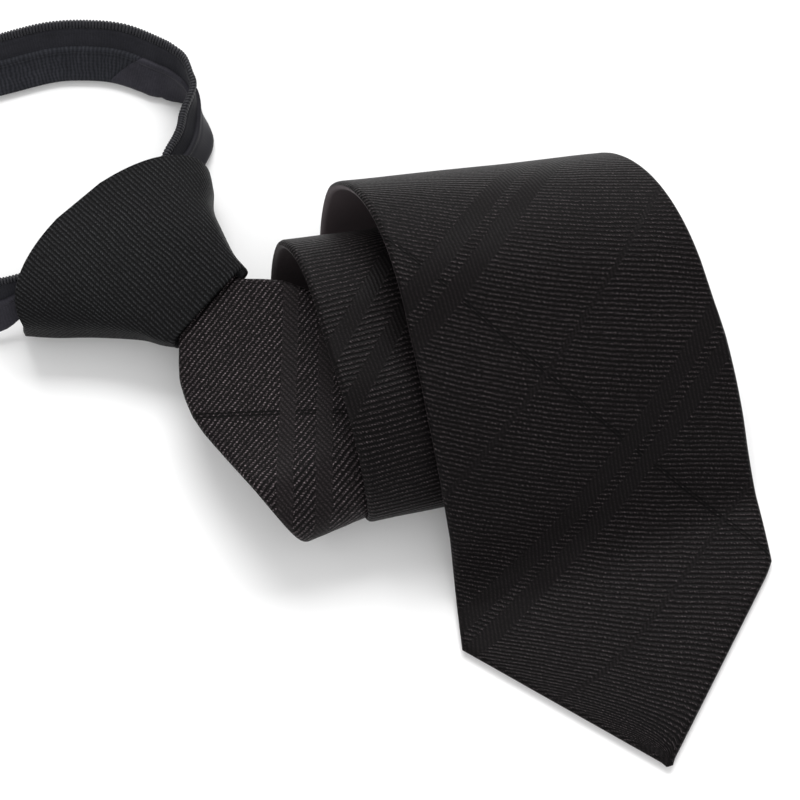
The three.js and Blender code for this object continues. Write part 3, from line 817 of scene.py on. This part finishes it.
# Places of the plaid in each of the two pieces, in millimetres along the middle of the cloth
PLAID_CLIMB = (1.08, 1.15)  # how far a band climbs along the cloth for each unit across
PAIR_MIDDLE = (39, 381)
PAIR_REPEAT = (35.2, 41.25)  # half the distance between two pairs
PAIR_HALF = (6.9, 4.6)  # from a pair's middle to each of its bands
SINGLE_FROM = (40.2, 40.7)  # soft edge of the thin band between two pairs
GROOVES_AT = (41.5, 439.8)

FRONT_SHEEN_GAIN = 2.6  # painted sheen: the blade's first stretch, beside the knot, is painted brighter where its ribs catch the light
FRONT_SHEEN_FADE = (150, 60)


def twill(name, dark, light, slopes, plaid, roughness, rib_pitch, glint_power, glint_gain):
    """Dark twill cloth, with painted light and shade on its ribs and painted glints of its yarns. slopes is
    how far a rib climbs for each unit across, in each piece of the cloth.
    """
    n = Nodes(name)
    across, along, side, vector = n.weave()
    newer = n.math("GREATER_THAN", along, PIECE_END)

    def piece(values):
        """The first value in the piece beside the knot, the second in the piece with the point."""
        return n.math("MULTIPLY_ADD", newer, values[1] - values[0], values[0])

    wobble = n.math("MULTIPLY_ADD", n.noise(vector, 0.09, 2), 1.0, -0.5)
    down = n.math("ADD", n.math("MULTIPLY_ADD", across, piece(slopes), along), wobble)
    rib = n.wave(down, rib_pitch)
    floats = n.wave(n.math("MULTIPLY_ADD", down, 0.6, across), FLOAT)
    grain = n.noise(vector, 1.7, 2, (1.1, 1.6, 1))
    # painted glints: bright specks on the yarn floats, where the ribs catch the light
    yarn_glint = n.math("MULTIPLY", n.math("MULTIPLY_ADD", floats, 0.6, 0.4), n.step(grain, 0.3, 0.75))
    glints = n.math("MULTIPLY_ADD", n.math("POWER", yarn_glint, glint_power), glint_gain, 0.06)
    # the tone follows the ribs: painted light on their crests and painted shade in their grooves, times the
    # painted glints
    tone = n.math("ADD", n.math("MULTIPLY", n.math("POWER", rib, 2.2), glints), 0.04)
    height = n.math("MULTIPLY_ADD", grain, 0.5, rib)
    if plaid:
        climb = n.math("MULTIPLY", across, piece(PLAID_CLIMB))
        bias = n.math("SUBTRACT", n.math("SUBTRACT", along, climb), piece(PAIR_MIDDLE))
        apart = n.math("PINGPONG", bias, piece(PAIR_REPEAT))
        pair = n.math("ABSOLUTE", n.math("SUBTRACT", apart, piece(PAIR_HALF)))
        single = n.math("MULTIPLY", newer, n.step(apart, *SINGLE_FROM))
        band = n.math("MAXIMUM", n.step(pair, *BAND_HALF), single)
        # the bands are woven with the twill the other way; their smoother, duller tone is painted sheen of
        # that twill
        fine = n.wave(n.math("ADD", across, wobble), FINE_RIB)
        fine_tone = n.math("MULTIPLY_ADD", n.math("MULTIPLY", yarn_glint, fine), 0.9, 0.12)
        tone = n.blend(band, tone, fine_tone)
        height = n.blend(band, height, n.math("MULTIPLY_ADD", fine, 0.5, n.math("MULTIPLY", grain, 0.4)))
        other = n.math("SUBTRACT", n.math("ADD", along, across), piece(GROOVES_AT))
        line = n.math("ABSOLUTE", n.math("SUBTRACT", n.math("ABSOLUTE", other), LINE_OFF))
        line = n.math("MULTIPLY", n.step(line, *LINE_HALF), n.math("SUBTRACT", 1.0, band))
        height = n.math("MULTIPLY_ADD", line, -1.2, height)
        tone = n.math("MULTIPLY", tone, n.math("MULTIPLY_ADD", line, -0.9, 1.0))
        # painted sheen: the first stretch beside the knot is brightened
        front = n.step(along, *FRONT_SHEEN_FADE)
        tone = n.math("MULTIPLY", tone, n.math("MULTIPLY_ADD", front, FRONT_SHEEN_GAIN - 1, 1.0))
    patch = n.math("MULTIPLY_ADD", n.noise(vector, 0.045, 2), 0.5, 0.75)
    # the back's own lighter tone; on the piece with the point it is raised further, painted light against the
    # shade inside the blade's top fold
    back_tone = n.math("MULTIPLY_ADD", newer, 4.5, n.math("ADD", grain, 1.7))
    tone = n.blend(side, n.math("MULTIPLY", tone, patch), back_tone)
    height = n.blend(side, height, n.math("MULTIPLY", grain, 0.3))
    n.put(n.shader.inputs["Base Color"], n.mix(tone, dark, light))
    n.put(n.shader.inputs["Roughness"], n.math("MULTIPLY_ADD", yarn_glint, -0.15, roughness))
    n.shader.inputs["Specular IOR Level"].default_value = 0.06
    n.shader.inputs["Sheen Weight"].default_value = 0.02
    n.shader.inputs["Sheen Roughness"].default_value = 0.4
    n.bump(height, 0.6, 0.18)
    return n.material


KNOT_SHADE_SPAN = (SEAM_AT + 8, SEAM_AT - 8)  # painted shade: the band's outer side is painted darker from the knot to here


def plain_cloth(name, dark, light, period, depth, strength, roughness, sheen):
    """Cloth with ribs across the band: depth is how much they shade it, strength how much they stand up."""
    n = Nodes(name)
    high, along, side, vector = n.weave()
    uneven = n.math("MULTIPLY_ADD", n.noise(vector, 0.35, 2), period * 1.6, along)
    rib = n.wave(uneven, period)
    weft = n.wave(high, period * 0.8)
    height = n.math("MULTIPLY_ADD", weft, 0.3, rib)
    grain = n.noise(vector, 1.6, 3)
    ribbed = n.math("MULTIPLY_ADD", n.step(height, 0, 1.25), depth, 0.75 - depth * 0.6)
    tone = n.math("MULTIPLY", n.math("MULTIPLY_ADD", grain, 0.9, 0.3), ribbed)
    patch = n.math("MULTIPLY_ADD", n.noise(vector, 0.16, 2), 1.0, 0.5)
    # painted shade on the outer side of the band near the knot
    knot_shade = n.math("MULTIPLY", n.math("SUBTRACT", 1.0, side), n.step(along, *KNOT_SHADE_SPAN))
    tone = n.math("MULTIPLY", n.math("MULTIPLY", tone, patch), n.math("MULTIPLY_ADD", knot_shade, -0.7, 1.0))
    n.put(n.shader.inputs["Base Color"], n.mix(tone, dark, light))
    n.put(n.shader.inputs["Roughness"], n.math("MULTIPLY_ADD", grain, 0.15, roughness))
    n.shader.inputs["Specular IOR Level"].default_value = 0.1
    n.shader.inputs["Sheen Weight"].default_value = sheen
    n.shader.inputs["Sheen Roughness"].default_value = 0.4
    n.bump(height, strength, 0.15)
    return n.material


def plastic(name, dark, light, roughness, metallic=0.0):
    """Moulded coil or painted metal, with a fine grain."""
    n = Nodes(name)
    place = n.tree.nodes.new("ShaderNodeTexCoord").outputs["Object"]
    grain = n.noise(place, 900, 3)
    n.put(n.shader.inputs["Base Color"], n.mix(grain, dark, light))
    n.put(n.shader.inputs["Roughness"], n.math("MULTIPLY_ADD", grain, 0.2, roughness))
    n.shader.inputs["Metallic"].default_value = metallic
    n.shader.inputs["Specular IOR Level"].default_value = 0.25
    n.bump(grain, 0.3, 0.03)
    return n.material


def rgba(r, g, b):
    return (r, g, b, 1)


BLADE_DARK, BLADE_LIGHT = rgba(0.0008, 0.0007, 0.0007), rgba(0.0165, 0.0135, 0.0143)
KNOT_DARK, KNOT_LIGHT = rgba(0.002, 0.002, 0.0022), rgba(0.019, 0.0193, 0.0205)
SATIN_DARK, SATIN_LIGHT = rgba(0.006, 0.006, 0.008), rgba(0.042, 0.04, 0.051)
LINING_DARK, LINING_LIGHT = rgba(0.005, 0.0055, 0.0075), rgba(0.03, 0.031, 0.038)
TAPE_DARK, TAPE_LIGHT = rgba(0.007, 0.007, 0.009), rgba(0.028, 0.028, 0.034)
TEETH_DARK, TEETH_LIGHT = rgba(0.008, 0.008, 0.01), rgba(0.026, 0.026, 0.031)

SLIDER_DARK, SLIDER_LIGHT = rgba(0.03, 0.03, 0.034), rgba(0.07, 0.07, 0.075)

blade.data.materials.append(twill(
    "blade_twill", BLADE_DARK, BLADE_LIGHT, slopes=(-0.15, 0.04), plaid=True, roughness=0.55,
    rib_pitch=RIB, glint_power=2.0, glint_gain=7.2,
))
knot.data.materials.append(twill(
    "knot_twill", KNOT_DARK, KNOT_LIGHT, slopes=(0.25, 0.25), plaid=False, roughness=0.6,
    rib_pitch=KNOT_RIB, glint_power=1.0, glint_gain=2.3,
))
satin = plain_cloth(
    "strap_satin", SATIN_DARK, SATIN_LIGHT, period=0.7, depth=0.2, strength=0.08, roughness=0.5, sheen=0.05,
)
lining = plain_cloth(
    "strap_ribbed", LINING_DARK, LINING_LIGHT, period=1.1, depth=0.7, strength=0.4, roughness=0.6, sheen=0.05,
)
tape = plain_cloth(
    "tape_weave", TAPE_DARK, TAPE_LIGHT, period=0.7, depth=0.25, strength=0.12, roughness=0.7, sheen=0.04,
)
coil = plastic("coil", TEETH_DARK, TEETH_LIGHT, 0.42)
strap_right.data.materials.append(satin)
strap_left.data.materials.append(satin)
strap_back.data.materials.append(lining)
for item in (tape_right, tape_left):
    item.data.materials.append(tape)
for item in (teeth_right, teeth_left):
    item.data.materials.append(coil)
slider = bpy.data.objects["zip_slider"]
slider.data.materials.clear()
slider.data.materials.append(plastic("slider_paint", SLIDER_DARK, SLIDER_LIGHT, 0.35, metallic=0.6))

# ---- Floor, light and camera


def floor_plane():
    mesh = bpy.data.meshes.new("floor")
    half = 3
    corners = [(-half, -half, 0), (half, -half, 0), (half, half, 0), (-half, half, 0)]
    mesh.from_pydata(corners, [], [(0, 1, 2, 3)])
    item = bpy.data.objects.new("floor", mesh)
    bpy.context.scene.collection.objects.link(item)
    n = Nodes("floor_white")
    n.shader.inputs["Base Color"].default_value = rgba(0.9, 0.9, 0.9)
    n.shader.inputs["Roughness"].default_value = 0.9
    n.shader.inputs["Specular IOR Level"].default_value = 0.1
    mesh.materials.append(n.material)


def area_light(name, place, aim, size, power):
    data = bpy.data.lights.new(name, "AREA")
    data.shape = "RECTANGLE"
    data.size, data.size_y = size
    data.energy = power
    item = bpy.data.objects.new(name, data)
    item.location = place
    item.rotation_euler = (Vector(aim) - Vector(place)).to_track_quat("-Z", "Y").to_euler()
    bpy.context.scene.collection.objects.link(item)


VIEW_RISE = 69  # degrees above the surface
VIEW_DISTANCE = 650  # millimetres from the point looked at
VIEW_AT = Vector((0, 0, 20))
LENS = 118.5


def camera():
    data = bpy.data.cameras.new("camera")
    data.lens = LENS
    data.sensor_width = 36
    data.clip_start = 0.01
    item = bpy.data.objects.new("camera", data)
    back = Vector((0, -cos(radians(VIEW_RISE)), sin(radians(VIEW_RISE))))
    item.location = (VIEW_AT + back * VIEW_DISTANCE + SHIFT) * MM
    item.rotation_euler = (radians(90 - VIEW_RISE), 0, 0)
    bpy.context.scene.collection.objects.link(item)
    bpy.context.scene.camera = item


def world(strength):
    scene = bpy.context.scene
    scene.world = scene.world or bpy.data.worlds.new("world")
    scene.world.use_nodes = True
    background = scene.world.node_tree.nodes["Background"]
    background.inputs["Color"].default_value = rgba(1, 1, 1)
    background.inputs["Strength"].default_value = strength
    scene.view_settings.view_transform = "Standard"


floor_plane()
world(0.75)
area_light("top_light", (0.1, 0.75, 0.9), (0.08, 0, 0), (0.9, 0.5), 12)
area_light("front_fill", (0.0, -0.8, 0.9), (0.05, 0, 0), (1.2, 0.6), 3)
camera()
